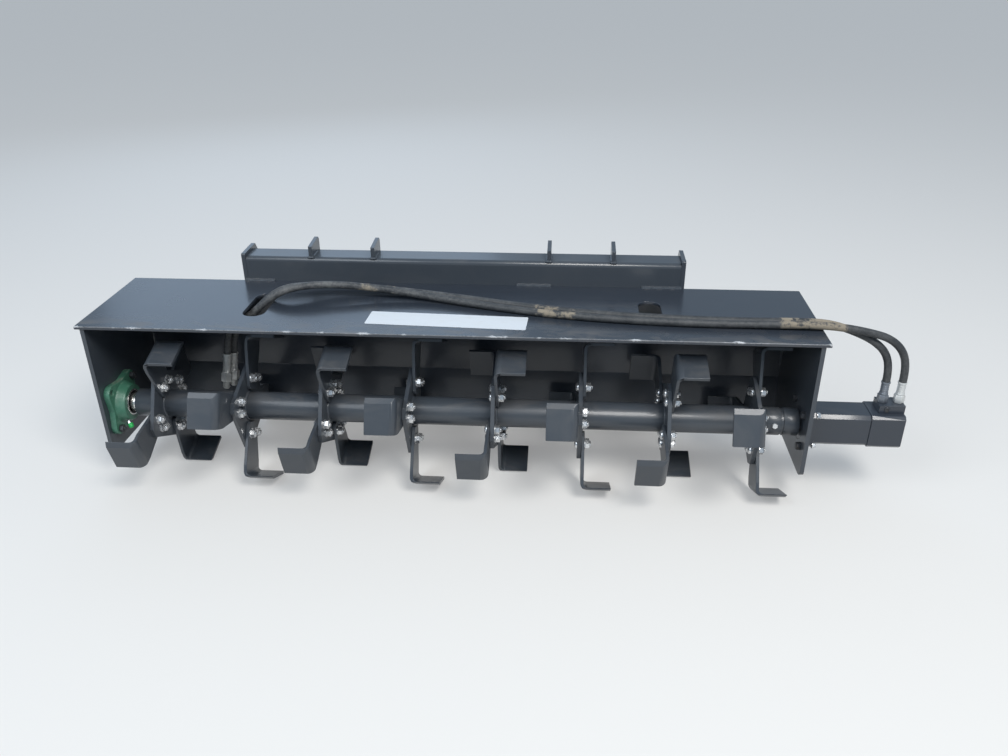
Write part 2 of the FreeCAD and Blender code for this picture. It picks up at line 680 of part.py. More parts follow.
def make_tine(side):
    # One L tine that points up from the axis at the origin, its blade turned to the given side
    half_plate = FLANGE_PLATE / 2 + SEAT_GAP
    outer = TINE_BEND_OUTSIDE
    profile = [
        (0, TINE_ROOT_RADIUS, 0),
        (0, TIP_RADIUS, outer),
        (TINE_BLADE_REACH, TIP_RADIUS, 0),
        (TINE_BLADE_REACH, TIP_RADIUS - TINE_PLATE, 0),
        (TINE_PLATE, TIP_RADIUS - TINE_PLATE, outer - TINE_PLATE),
        (TINE_PLATE, TINE_ROOT_RADIUS, 0),
    ]
    half = TINE_BLADE_WIDTH / 2
    corners = []
    for x, z, radius in profile:
        corners.append((point(side * (x + half_plate), -half, z), radius))
    bent = Part.Face(rounded_outline(corners)).extrude(point(0, TINE_BLADE_WIDTH, 0))
    root = TINE_ROOT_WIDTH / 2
    outline = [
        (-root, TINE_ROOT_RADIUS + TINE_ROOT_CHAMFER, 0),
        (-half, TINE_SHOULDER_RADIUS, 0),
        (-half, TIP_RADIUS + 1, 0),
        (half, TIP_RADIUS + 1, 0),
        (half, TINE_SHOULDER_RADIUS, 0),
        (root, TINE_ROOT_RADIUS + TINE_ROOT_CHAMFER, 0),
        (root - TINE_ROOT_CHAMFER, TINE_ROOT_RADIUS, 0),
        (TINE_ROOT_CHAMFER - root, TINE_ROOT_RADIUS, 0),
    ]
    reach = TINE_BLADE_REACH + FLANGE_PLATE
    tine = bent.common(side_profile(outline, -reach, reach))
    # The leading edge is ground from the outside
    slope = (TINE_PLATE - TINE_EDGE) / TINE_BEVEL
    beyond = TINE_BEVEL + 2
    ground = [
        (half - TINE_BEVEL, TIP_RADIUS, 0),
        (half - TINE_BEVEL + beyond, TIP_RADIUS - slope * beyond, 0),
        (half - TINE_BEVEL + beyond, TIP_RADIUS + 2, 0),
        (half - TINE_BEVEL, TIP_RADIUS + 2, 0),
    ]
    wedge = side_profile(ground, -reach, reach)
    return tine.cut(wedge)


def make_flange():
    # A square plate with cut corners that carries one tine at each corner
    outline = chamfered_square(FLANGE_SIDE, FLANGE_CHAMFER, 0, 0)
    plate = side_profile(outline, -FLANGE_PLATE / 2, FLANGE_PLATE / 2)
    bore = Part.makeCylinder(TUBE_RADIUS, 2 * FLANGE_PLATE, point(-FLANGE_PLATE, 0, 0), point(1, 0, 0))
    return plate.cut(bore)


def turned(shape, angle, x):
    # Turn a shape about the rotor axis, from pointing up, then move it to its station.
    # At angle 0 it points at the open front, and at 90 it points up.
    copy = shape.copy()
    copy.rotate(point(0, 0, 0), point(1, 0, 0), 90 - angle)
    copy.translate(point(x, AXIS_Y, AXIS_Z))
    return copy


def make_rotor_stations():
    tines = {-1: make_tine(-1), 1: make_tine(1)}
    flange = make_flange()
    for station in range(STATIONS):
        x = FIRST_STATION + station * STATION_PITCH
        angles, side = (ODD_ANGLES, 1) if station % 2 == 0 else (EVEN_ANGLES, -1)
        plate = turned(flange, angles[0] - TINE_STEP / 2, x)
        save("rotor_flange_%d" % (station + 1), plate)
        solids = []
        for angle in angles:
            solids.append(turned(tines[side], angle, x))
            side = -side
        save("tines_%d" % (station + 1), Part.makeCompound(solids))


make_deck()
make_back_wall()
make_side_plates()
make_top_beam()
make_bottom_beam()
make_lock_brackets()
make_end_plates()
make_centre_plate()
make_lugs()
make_bearing()
make_motor()
make_port_fitting("port_fitting_pressure", PORT_MIDDLE + PORT_SPACING / 2)
make_port_fitting("port_fitting_return", PORT_MIDDLE - PORT_SPACING / 2)
make_rotor_shafts()
make_rotor_stations()
make_hoses()
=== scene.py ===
# %% [markdown]
# A rotary tiller for a loader, dressed for a photograph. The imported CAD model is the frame: its
# plates, rotor and motor already have their real shape and place. This notebook gives them their
# paint, and adds what a drawing leaves out: hoses, crimped fittings, bolts, weld beads and wear.
# Everything is in metres, X runs along the rotor, Y towards the loader and Z up.

# %% Load the frame
import json
import math
import random

import bpy
from mathutils import Matrix, Vector


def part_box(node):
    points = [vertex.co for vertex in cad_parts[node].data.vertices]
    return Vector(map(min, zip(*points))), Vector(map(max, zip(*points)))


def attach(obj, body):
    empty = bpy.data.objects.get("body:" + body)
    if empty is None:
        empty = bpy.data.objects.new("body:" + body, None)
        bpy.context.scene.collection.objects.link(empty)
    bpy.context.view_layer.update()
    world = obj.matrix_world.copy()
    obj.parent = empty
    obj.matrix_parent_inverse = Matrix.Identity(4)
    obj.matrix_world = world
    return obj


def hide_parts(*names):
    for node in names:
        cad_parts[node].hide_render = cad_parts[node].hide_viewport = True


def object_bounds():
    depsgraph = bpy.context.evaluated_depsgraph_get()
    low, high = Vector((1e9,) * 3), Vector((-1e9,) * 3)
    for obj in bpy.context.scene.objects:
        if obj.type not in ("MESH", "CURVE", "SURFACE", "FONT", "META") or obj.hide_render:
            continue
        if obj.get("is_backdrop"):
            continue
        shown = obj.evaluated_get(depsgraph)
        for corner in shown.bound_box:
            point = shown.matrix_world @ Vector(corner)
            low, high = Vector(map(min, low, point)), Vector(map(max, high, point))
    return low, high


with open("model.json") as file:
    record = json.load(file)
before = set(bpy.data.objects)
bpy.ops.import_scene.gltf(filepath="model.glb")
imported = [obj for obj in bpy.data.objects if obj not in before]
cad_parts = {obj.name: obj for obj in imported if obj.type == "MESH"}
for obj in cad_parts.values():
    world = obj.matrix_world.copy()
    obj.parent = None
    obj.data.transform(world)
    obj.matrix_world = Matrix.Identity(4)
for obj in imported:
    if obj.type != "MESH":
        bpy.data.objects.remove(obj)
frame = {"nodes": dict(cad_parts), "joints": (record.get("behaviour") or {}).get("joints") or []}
cad_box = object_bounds()
random.seed(7)
nodes = frame["nodes"]
MM = 0.001
print("CAD nodes:", len(nodes), "box:", [round(v, 3) for corner in cad_box for v in corner])

# %% [markdown]
# The camera comes first, because hoses and wear are judged through it. A photograph fixes the
# camera by where known corners fall in it. The deck's four corners, the hitch frame and the eight
# flanges gave this place, direction and focal length, which is kept in pixels of a picture 1008
# pixels wide. A tall viewpoint looking down about 27 degrees is a person standing in front.

# %% Camera
IMAGE_WIDTH = 1008
SENSOR_WIDTH = 36.0
FOCAL_PIXELS = 859.3
CAMERA_PLACE = Vector((0.2726, -2.1341, 1.2384))
CAMERA_YAW = math.radians(-4.42)
CAMERA_PITCH = math.radians(27.42)
CAMERA_ROLL = math.radians(0.46)

ahead = Vector((
    math.sin(CAMERA_YAW) * math.cos(CAMERA_PITCH),
    math.cos(CAMERA_YAW) * math.cos(CAMERA_PITCH),
    -math.sin(CAMERA_PITCH),
))
level_right = Vector((math.cos(CAMERA_YAW), -math.sin(CAMERA_YAW), 0))
level_down = ahead.cross(level_right)
right = level_right * math.cos(CAMERA_ROLL) + level_down * math.sin(CAMERA_ROLL)
up = right.cross(ahead)

camera_data = bpy.data.cameras.new("camera")
camera_data.sensor_width = SENSOR_WIDTH
camera_data.lens = FOCAL_PIXELS * SENSOR_WIDTH / IMAGE_WIDTH
camera = bpy.data.objects.new("camera", camera_data)
turned_to_view = Matrix((right, up, -ahead)).transposed().to_4x4()
camera.matrix_world = Matrix.Translation(CAMERA_PLACE) @ turned_to_view
bpy.context.scene.collection.objects.link(camera)
bpy.context.scene.camera = camera
print("lens", round(camera_data.lens, 2), "mm")

# %% [markdown]
# Shader maths is easier to read as a formula than as a web of boxes. This small class wraps one
# socket, so that an expression such as 1 - mask * 0.5 adds the Math nodes by itself. The second
# class is one material: its node method adds any node, sets its settings first, and then feeds
# its sockets with plain values or with other sockets.

# %% Shader helpers
class Socket:
    def __init__(self, finish, socket):
        self.finish = finish
        self.socket = socket

    def maths(self, operation, left, right=0.0):
        return self.finish.node("ShaderNodeMath", {"operation": operation}, {0: left, 1: right})

    def __add__(self, other):
        return self.maths("ADD", self, other)

    def __radd__(self, other):
        return self.maths("ADD", other, self)

    def __sub__(self, other):
        return self.maths("SUBTRACT", self, other)

    def __rsub__(self, other):
        return self.maths("SUBTRACT", other, self)

    def __mul__(self, other):
        return self.maths("MULTIPLY", self, other)

    def __rmul__(self, other):
        return self.maths("MULTIPLY", other, self)

    def clamp(self):
        return self.finish.node("ShaderNodeClamp", {}, {"Value": self})

    def step(self, low, high):
        # 0 below low, 1 above high and a smooth rise between; low may be the larger one
        settings = {"interpolation_type": "SMOOTHSTEP"}
        inputs = {"Value": self, "From Min": low, "From Max": high}
        return self.finish.node("ShaderNodeMapRange", settings, inputs)


class Finish:
    def __init__(self, name):
        self.material = bpy.data.materials.new(name)
        self.material.use_nodes = True
        self.tree = self.material.node_tree
        self.shader = self.tree.nodes["Principled BSDF"]
        self.place = self.node("ShaderNodeTexCoord", {}, {}, "Object")

    def feed(self, socket, value):
        if isinstance(value, Socket):
            self.tree.links.new(value.socket, socket)
        else:
            socket.default_value = value

    def node(self, kind, settings, inputs, output=0):
        made = self.tree.nodes.new(kind)
        for key, value in settings.items():
            setattr(made, key, value)
        for key, value in inputs.items():
            self.feed(made.inputs[key], value)
        return Socket(self, made.outputs[output])

    def noise(self, scale, detail=3.0, roughness=0.5, stretch=(1, 1, 1), distortion=0.0):
        where = self.place
        if stretch != (1, 1, 1):
            where = self.node("ShaderNodeMapping", {}, {"Vector": self.place, "Scale": stretch})
        inputs = {"Vector": where, "Scale": scale, "Detail": detail, "Roughness": roughness}
        inputs["Distortion"] = distortion
        return self.node("ShaderNodeTexNoise", {}, inputs)

    def axes(self):
        split = self.node("ShaderNodeSeparateXYZ", {}, {"Vector": self.place})
        return [Socket(self, output) for output in split.socket.node.outputs]

    def facing_up(self):
        normal = self.node("ShaderNodeNewGeometry", {}, {}, "Normal")
        split = self.node("ShaderNodeSeparateXYZ", {}, {"Vector": normal})
        return Socket(self, split.socket.node.outputs["Z"])

    def mix(self, factor, below, above):
        inputs = {"Factor": factor, 6: below, 7: above}
        return self.node("ShaderNodeMix", {"data_type": "RGBA"}, inputs, 2)

    def bump(self, height, distance, strength=1.0, under=None):
        inputs = {"Height": height, "Distance": distance, "Strength": strength}
        if under is not None:
            inputs["Normal"] = under
        return self.node("ShaderNodeBump", {}, inputs)

    def set(self, **values):
        for key, value in values.items():
            self.feed(self.shader.inputs[key.replace("_", " ")], value)
        return self.material


# %% [markdown]
# Glossy dark paint is mostly what it mirrors, so the studio matters as much as the paint. A pale
# blue room gives the deck its broad soft sheen. A large lamp at the front right stands for the
# sun's side, a weaker one at the left keeps the bearing end readable, and a faint one behind lifts
# the hitch frame. The floor is matt and takes the shadow. A pale floor would throw light up into
# the dark hood, so it is paler only where the camera or a mirror sees it: the Light Path node
# tells those rays apart, and a little emission is added for them alone.

# %% Stage and light
FLOOR_SIZE = 40.0
FLOOR_DROP = 0.001
FLOOR_GREY = (0.42, 0.41, 0.39, 1)
FLOOR_SEEN = (0.50, 0.49, 0.47, 1)
FLOOR_LIFT = (0.27, 0.27, 0.27, 1)
NO_LIGHT = (0.0, 0.0, 0.0, 1)
ROOM_BLUE = (0.64, 0.81, 1.0, 1)
ROOM_STRENGTH = 0.46
bpy.ops.object.select_all(action="DESELECT")
bpy.ops.mesh.primitive_plane_add(size=FLOOR_SIZE, location=(0, 0, -FLOOR_DROP))
floor = bpy.context.object
floor.name = "floor"
floor_paint = Finish("floor_paint")
camera_ray, glossy_ray, transmission_ray = [
    floor_paint.node("ShaderNodeLightPath", {}, {}, kind)
    for kind in ("Is Camera Ray", "Is Glossy Ray", "Is Transmission Ray")
]
seen = (camera_ray + glossy_ray + transmission_ray).clamp()
floor.data.materials.append(floor_paint.set(
    Base_Color=floor_paint.mix(seen, FLOOR_GREY, FLOOR_SEEN),
    Roughness=0.9,
    Emission_Color=floor_paint.mix(seen, NO_LIGHT, FLOOR_LIFT),
    Emission_Strength=1.0,
))
floor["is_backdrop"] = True

world = bpy.data.worlds.new("studio")
world.use_nodes = True
background = world.node_tree.nodes["Background"]
background.inputs["Color"].default_value = ROOM_BLUE
background.inputs["Strength"].default_value = ROOM_STRENGTH
bpy.context.scene.world = world
bpy.context.scene.view_settings.view_transform = "Standard"

AIM = Vector((0.0, -0.2, 0.25))
lamps = [
    # name, place, size in metres, power in watts, colour
    ("key", (1.8, -2.6, 3.9), 1.8, 165, (1.0, 0.98, 0.95)),
    ("fill", (-2.2, -2.6, 3.2), 2.4, 75, (0.90, 0.95, 1.0)),
    ("rim", (-1.4, 3.2, 2.6), 2.8, 24, (0.60, 0.77, 1.0)),
]
for name, place, size, power, colour in lamps:
    lamp = bpy.data.lights.new(name, "AREA")
    lamp.size = size
    lamp.energy = power
    lamp.color = colour
    holder = bpy.data.objects.new(name, lamp)
    holder.location = place
    holder.rotation_euler = (AIM - Vector(place)).to_track_quat("-Z", "Y").to_euler()
    bpy.context.scene.collection.objects.link(holder)
print("lamps:", len(lamps))

# %% [markdown]
# The paint is one coat of gloss charcoal over shot steel plate. Up close such paint has orange
# peel, a soft wave left by the spray. Outdoors it gets a film of pale dust, thickest where it
# faces up. The hitch frame and rotor take a lighter copy of the charcoal than the hood. This is
# partly wear where they are handled most, and partly painted light, because they stand lit while
# the hood is shaded. The peel and the dust are each a mask, built from noise at the size of the
# real thing. Noise scales count waves in a metre: 2.5 is a broad cloud of tone, 9 a wiped smear
# and 420 a speck of grit.

# %% Charcoal paint
# The charcoal tones lean blue: a painted reflection of the sky over paint that is near black.
CHARCOAL = (0.027, 0.034, 0.046, 1)
CHARCOAL_LIGHT = (0.034, 0.042, 0.055, 1)
# A lighter copy of the charcoal for the hitch frame and rotor: partly wear, and partly painted
# light, because these parts stand lit while the hood is shaded.
WORN_AND_SUNLIT = (0.042, 0.051, 0.063, 1)
WORN_AND_SUNLIT_LIGHT = (0.056, 0.065, 0.077, 1)
DUST = (0.36, 0.31, 0.25, 1)
SCRAPED = (0.50, 0.51, 0.52, 1)
COAT = 0.25
COAT_ROUGHNESS = 0.12


def charcoal_paint(name, tones, gloss, dust, settled=None, scrape=None):
    finish = Finish(name)
    broad = finish.noise(2.5, 3.0, 0.5)
    smear = finish.noise(9.0, 6.0, 0.6, (1.0, 2.2, 1.0), 1.2)
    speck = finish.noise(420.0, 2.0, 0.6)
    peel = finish.noise(260.0, 2.0, 0.5)
    up = finish.facing_up().step(0.2, 0.95)
    film = smear.step(0.42, 0.72) * (0.25 + up * 0.75) * dust
    if settled is not None:
        film = film * settled(finish)
    grit = speck.step(0.68, 0.74) * smear.step(0.40, 0.62) * film * 1.2
    colour = finish.mix(broad.step(0.3, 0.7) * 0.5, *tones)
    colour = finish.mix((film + grit).clamp(), colour, DUST)
    rough = gloss + film * 0.9 + broad.step(0.35, 0.75) * 0.04
    normal = finish.bump(peel, 0.00025, 0.25)
    if scrape is not None:
        worn = scrape(finish)
        colour = finish.mix(worn, colour, SCRAPED)
        rough = rough + worn * 0.25
        normal = finish.bump(1 - worn, 0.0002, 0.5, normal)
    return finish.set(
        Base_Color=colour, Roughness=rough.clamp(), Normal=normal,
        Coat_Weight=COAT, Coat_Roughness=COAT_ROUGHNESS,
    )


print("charcoal tones:", CHARCOAL[:3], CHARCOAL_LIGHT[:3], WORN_AND_SUNLIT[:3], WORN_AND_SUNLIT_LIGHT[:3])

# %% [markdown]
# Along the deck's front edge the paint is scraped through to a thin pale line that widens in
# patches, where stones and boots meet it, and dust gathers behind it. Both masks are measured from
# the deck's own box, so they stay on its edge. Patches are noise stretched flat in Y and Z, so
# that they change along the edge alone. The paints for each group of plates are made here too.

# %% Deck wear and the paints
deck_low, deck_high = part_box("deck_plate")
SCRAPE_LINE = 0.0010
SCRAPE_WIDTH = 0.0075
SCRAPE_DROP = 0.0014
CHIP_DROP = 0.003
DUST_WIDTH = 0.085


def deck_edge_scrapes(finish):
    # A thin line along the top corner of the front edge, which widens in patches
    x, y, z = finish.axes()
    patch = finish.noise(13.0, 3.0, 0.6, (1.0, 0.0, 0.0)).step(0.50, 0.64)
    nick = finish.noise(170.0, 4.0, 0.7, (1.0, 1.8, 1.0))
    inward = y - deck_low.y
    drop = deck_high.z - z
    width = SCRAPE_LINE + patch * nick.step(0.38, 0.62) * SCRAPE_WIDTH
    top = (inward - width).step(SCRAPE_LINE, 0.0)
    depth = SCRAPE_DROP + patch * nick.step(0.5, 0.7) * CHIP_DROP
    front = (drop - depth).step(SCRAPE_LINE, 0.0)
    return top * front * nick.step(0.30, 0.50) * (0.25 + patch * 0.75)


def deck_dust(finish):
    # Hands and boots leave dust along the front edge; the rest of the deck stays nearly clean
    inward = finish.axes()[1] - deck_low.y
    return 0.05 + inward.step(DUST_WIDTH, 0.01)


fresh = (CHARCOAL, CHARCOAL_LIGHT)
worn_and_sunlit = (WORN_AND_SUNLIT, WORN_AND_SUNLIT_LIGHT)
deck_paint = charcoal_paint("deck_paint", fresh, 0.24, 0.18, deck_dust, deck_edge_scrapes)
hood_paint = charcoal_paint("hood_paint", fresh, 0.30, 0.04)
# The frame and rotor take the lighter tones: painted light together with some wear.
frame_paint = charcoal_paint("frame_paint", worn_and_sunlit, 0.30, 0.06)
rotor_paint = charcoal_paint("rotor_paint", worn_and_sunlit, 0.38, 0.10)
motor_paint = charcoal_paint("motor_paint", fresh, 0.26, 0.04)
group_paints = (deck_paint, hood_paint, frame_paint, rotor_paint, motor_paint)
print("paints:", [paint.name for paint in group_paints])

# %% [markdown]
# The other metals are small but catch the eye: a green cast-iron bearing, bright zinc on the bolts
# and fittings, and a machined locking ring. Cast iron has a coarse grain, and zinc a fine cloudy
# one with brownish stains. One function makes all the plated and bare metals, from a tint, a
# roughness, how metallic it looks, and how stained it is.

# %% Metal finishes
CAST_GREEN = (0.050, 0.165, 0.105, 1)
CAST_GREEN_LIGHT = (0.075, 0.215, 0.150, 1)
RUST_STAIN = (0.28, 0.22, 0.15, 1)


def green_casting():
    finish = Finish("green_casting")
    grain = finish.noise(380.0, 3.0, 0.6)
    cloud = finish.noise(28.0, 4.0, 0.6)
    up = finish.facing_up().step(0.1, 0.9)
    colour = finish.mix(cloud.step(0.35, 0.7), CAST_GREEN, CAST_GREEN_LIGHT)
    film = cloud.step(0.50, 0.75) * (0.15 + up * 0.35)
    colour = finish.mix(film, colour, DUST)
    normal = finish.bump(grain, 0.0006, 0.6)
    return finish.set(Base_Color=colour, Roughness=(0.38 + film * 0.5).clamp(), Normal=normal)


def zinc_plate(name, tint, rough, metal=0.92, stained=0.3):
    finish = Finish(name)
    cloud = finish.noise(210.0, 4.0, 0.6)
    stain = finish.noise(60.0, 4.0, 0.65)
    colour = finish.mix(stain.step(0.52, 0.75) * stained, tint, RUST_STAIN)
    rough = rough + cloud.step(0.3, 0.7) * 0.14
    normal = finish.bump(cloud, 0.0001, 0.3)
    return finish.set(Base_Color=colour, Metallic=metal, Roughness=rough, Normal=normal)


casting_green = green_casting()
zinc = zinc_plate("zinc", (0.70, 0.71, 0.72, 1), 0.20, 0.85, 0.12)
dull_zinc = zinc_plate("dull_zinc", (0.62, 0.63, 0.62, 1), 0.34, 0.35, 0.3)
grey_zinc = zinc_plate("grey_zinc", (0.20, 0.22, 0.25, 1), 0.36, 0.55)
machined = zinc_plate("machined_steel", (0.66, 0.65, 0.63, 1), 0.18)
dark_steel = zinc_plate("dark_steel", (0.050, 0.054, 0.060, 1), 0.38, 0.40)
metals = (casting_green, zinc, dull_zinc, grey_zinc, machined, dark_steel)
print("metals:", [metal.name for metal in metals])

# %% [markdown]
# The hose is black rubber under a film of dust, with fine slanted ridges from the cloth that it was
# wrapped in, and mud has dried on it in three places. The ridges follow the hose, so they read its
# UV map, and the mud lies where it fell, so it reads the place in metres. Each muddy stretch is a
# mask that fades in and out along X, multiplied by noise before the cut, which makes ragged ends.
# The label is plain white with a wiped smear, and the cap and seal are plastics of one colour.

# %% Hose rubber, label and plastics
RUBBER = (0.022, 0.025, 0.029, 1)
RUBBER_DUSTY = (0.142, 0.144, 0.143, 1)
DRIED_MUD = (0.33, 0.28, 0.21, 1)
LABEL_CLEAN = (0.62, 0.65, 0.68, 1)
LABEL_SMEARED = (0.50, 0.48, 0.44, 1)
MUD_FADE = 0.06
DUSTY_UP_TO = -0.01
DUST_FADE = 0.18
MUDDY_STRETCHES = [
    # x where the mud starts and ends, and how thick it lies
    (-0.33, -0.10, 1.0),
    (0.15, 0.35, 1.0),
    (0.72, 0.96, 1.16),
]


def hose_rubber():
    finish = Finish("hose_rubber")
    where = finish.node("ShaderNodeTexCoord", {}, {}, "UV")
    bands = {"wave_type": "BANDS", "bands_direction": "DIAGONAL"}
    inputs = {"Vector": where, "Scale": 60.0, "Distortion": 0.6, "Detail": 1.0}
    wrap = finish.node("ShaderNodeTexWave", bands, inputs)
    x = finish.axes()[0]
    patch = finish.noise(14.0, 3.0, 0.6)
    crumb = finish.noise(150.0, 4.0, 0.7)
    fine = finish.noise(600.0, 2.0, 0.6)
    stretch = 0.0
    for start, end, thick in MUDDY_STRETCHES:
        inside = (x - start).step(0.0, MUD_FADE) * (end - x).step(0.0, MUD_FADE)
        stretch = stretch + inside * thick
    mud = ((patch + crumb * 0.4) * stretch).step(0.66, 0.78)
    # The half towards the slot is dustier than the half towards the motor
    dusty = 0.45 + (x - DUSTY_UP_TO).step(DUST_FADE / 2, -DUST_FADE / 2) * 0.55
    film = (patch * 0.6 + crumb * 0.6).step(0.42, 0.80) * dusty
    colour = finish.mix(film, RUBBER, RUBBER_DUSTY)
    colour = finish.mix(mud * 0.75, colour, DRIED_MUD)
    normal = finish.bump(wrap, 0.0002, 0.35)
    normal = finish.bump(mud * 0.6 + fine * 0.4, 0.0006, 0.7, normal)
    rough = (0.50 + mud * 0.4 + film * 0.15).clamp()
    return finish.set(Base_Color=colour, Roughness=rough, Normal=normal)


def label_white():
    finish = Finish("label_white")
    smear = finish.noise(35.0, 5.0, 0.6, (1.0, 3.0, 1.0))
    colour = finish.mix(smear.step(0.5, 0.8) * 0.30, LABEL_CLEAN, LABEL_SMEARED)
    return finish.set(Base_Color=colour, Roughness=(0.32 + smear * 0.25).clamp())


rubber = hose_rubber()
label_paint = label_white()
cap_green = Finish("cap_green").set(Base_Color=(0.02, 0.42, 0.09, 1), Roughness=0.4)
seal_black = Finish("seal_black").set(Base_Color=(0.015, 0.015, 0.015, 1), Roughness=0.55)
print("muddy stretches:", len(MUDDY_STRETCHES))

# %% [markdown]
# The CAD plates have knife-sharp edges, and no sheared or flame-cut plate does. A live Weld
# modifier first joins the loose triangles of each imported node, and a Bevel then rounds every
# edge by about a millimetre, which gives the thin bright lines that real painted edges show.

# %% Dress the CAD nodes
EDGE_ROUND = 1.2 * MM
JOIN_WITHIN = 0.01 * MM
SHARP_ANGLE = math.radians(40)
paints = {
    "deck_plate": deck_paint,
    "back_panel": hood_paint,
    "bearing_housing": casting_green,
    "shaft_collar": machined,
}
for name, node in nodes.items():
    paint = frame_paint
    if name.startswith(("rotor", "tines")):
        paint = rotor_paint
    if name.startswith(("motor", "port_block")):
        paint = motor_paint
    paint = paints.get(name, paint)
    node.data.materials.clear()
    node.data.materials.append(paint)
    weld = node.modifiers.new("join", "WELD")
    weld.merge_threshold = JOIN_WITHIN
    rounding = node.modifiers.new("edges", "BEVEL")
    rounding.width = EDGE_ROUND
    rounding.segments = 2
    rounding.limit_method = "ANGLE"
    rounding.angle_limit = SHARP_ANGLE
    rounding.harden_normals = True
print("dressed", len(nodes), "nodes")

# %% [markdown]
# Bolts, ferrules and rings are all turned shapes. By hand one would start with a small disc and
# extrude its face again and again, scaling it each time. The first helper does just that along
# +Z: each row of the profile is a height and a radius. Hexagons are the same with six sides. The
# others carry a piece to its place in its mesh, copy it, join pieces and paint them.

# %% Modelling helpers
SMOOTH_ANGLE = math.radians(35)


def deselect():
    if bpy.context.mode != "OBJECT":
        bpy.ops.object.mode_set(mode="OBJECT")
    bpy.ops.object.select_all(action="DESELECT")


def turned(name, sides, profile):
    # Start with a disc at the first row, then extrude and scale its face row by row
    deselect()
    height, radius = profile[0]
    bpy.ops.mesh.primitive_circle_add(
        vertices=sides, radius=radius, fill_type="NGON", location=(0, 0, 0),
    )
    piece = bpy.context.object
    piece.name = name
    piece.data.transform(Matrix.Translation((0, 0, height)))
    bpy.ops.object.mode_set(mode="EDIT")
    bpy.ops.mesh.select_all(action="SELECT")
    for next_height, next_radius in profile[1:]:
        move = {"value": (0, 0, next_height - height)}
        bpy.ops.mesh.extrude_region_move(TRANSFORM_OT_translate=move)
        scale = next_radius / radius
        middle = (0, 0, next_height)
        bpy.ops.transform.resize(value=(scale, scale, 1), center_override=middle)
        height, radius = next_height, next_radius
    bpy.ops.mesh.select_all(action="SELECT")
    bpy.ops.mesh.normals_make_consistent(inside=False)
    bpy.ops.object.mode_set(mode="OBJECT")
    bpy.ops.object.shade_smooth_by_angle(angle=SMOOTH_ANGLE)
    return piece


def along(place, direction, spin=0.0):
    # The matrix that carries a piece made along +Z to a place and direction
    turn = Vector(direction).to_track_quat("Z", "Y").to_matrix().to_4x4()
    return Matrix.Translation(Vector(place)) @ turn @ Matrix.Rotation(spin, 4, "Z")


def placed(piece, matrix):
    piece.data.transform(matrix)
    return piece


def copy_of(piece, matrix):
    twin = piece.copy()
    twin.data = piece.data.copy()
    bpy.context.scene.collection.objects.link(twin)
    return placed(twin, matrix)


def put_away(*pieces):
    # The models that copies were taken from
    for piece in pieces:
        bpy.data.objects.remove(piece)


def joined(name, pieces):
    deselect()
    for piece in pieces:
        piece.select_set(True)
    bpy.context.view_layer.objects.active = pieces[0]
    bpy.ops.object.join()
    piece = bpy.context.object
    piece.name = name
    piece.data.name = name
    return piece


def paint_over(piece, material):
    piece.data.materials.clear()
    piece.data.materials.append(material)
    return piece


def thread_rows(start, length, radius, pitch):
    # Rows of a turned profile that go in and out like a screw thread
    rows = []
    turns = int(length / pitch)
    for i in range(turns):
        rows.append((start + i * pitch, radius))
        rows.append((start + (i + 0.5) * pitch, radius * 0.88))
    rows.append((start + turns * pitch, radius * 0.9))
    return rows


def hex_nut(name, across, height):
    corner = across / math.sqrt(3)
    edge = height * 0.09
    return turned(name, 6, [
        (0.0, corner * 0.90), (edge, corner), (height * 0.91, corner), (height, corner * 0.90),
    ])


print("helpers ready")

# %% [markdown]
# The hoses are the part's only soft pieces. On the real tiller they leave the motor's ports, bend
# over the deck's right edge, lie side by side along the deck, rise in a low hump, and go down
# through the left slot. A route is a short table of control points. They began as the CAD tube's
# own and were moved a little, up to 30 mm, until the hose lay as it does in the photograph. A
# point's height is its rise above a hose that lies on the deck, so that zero means lying.

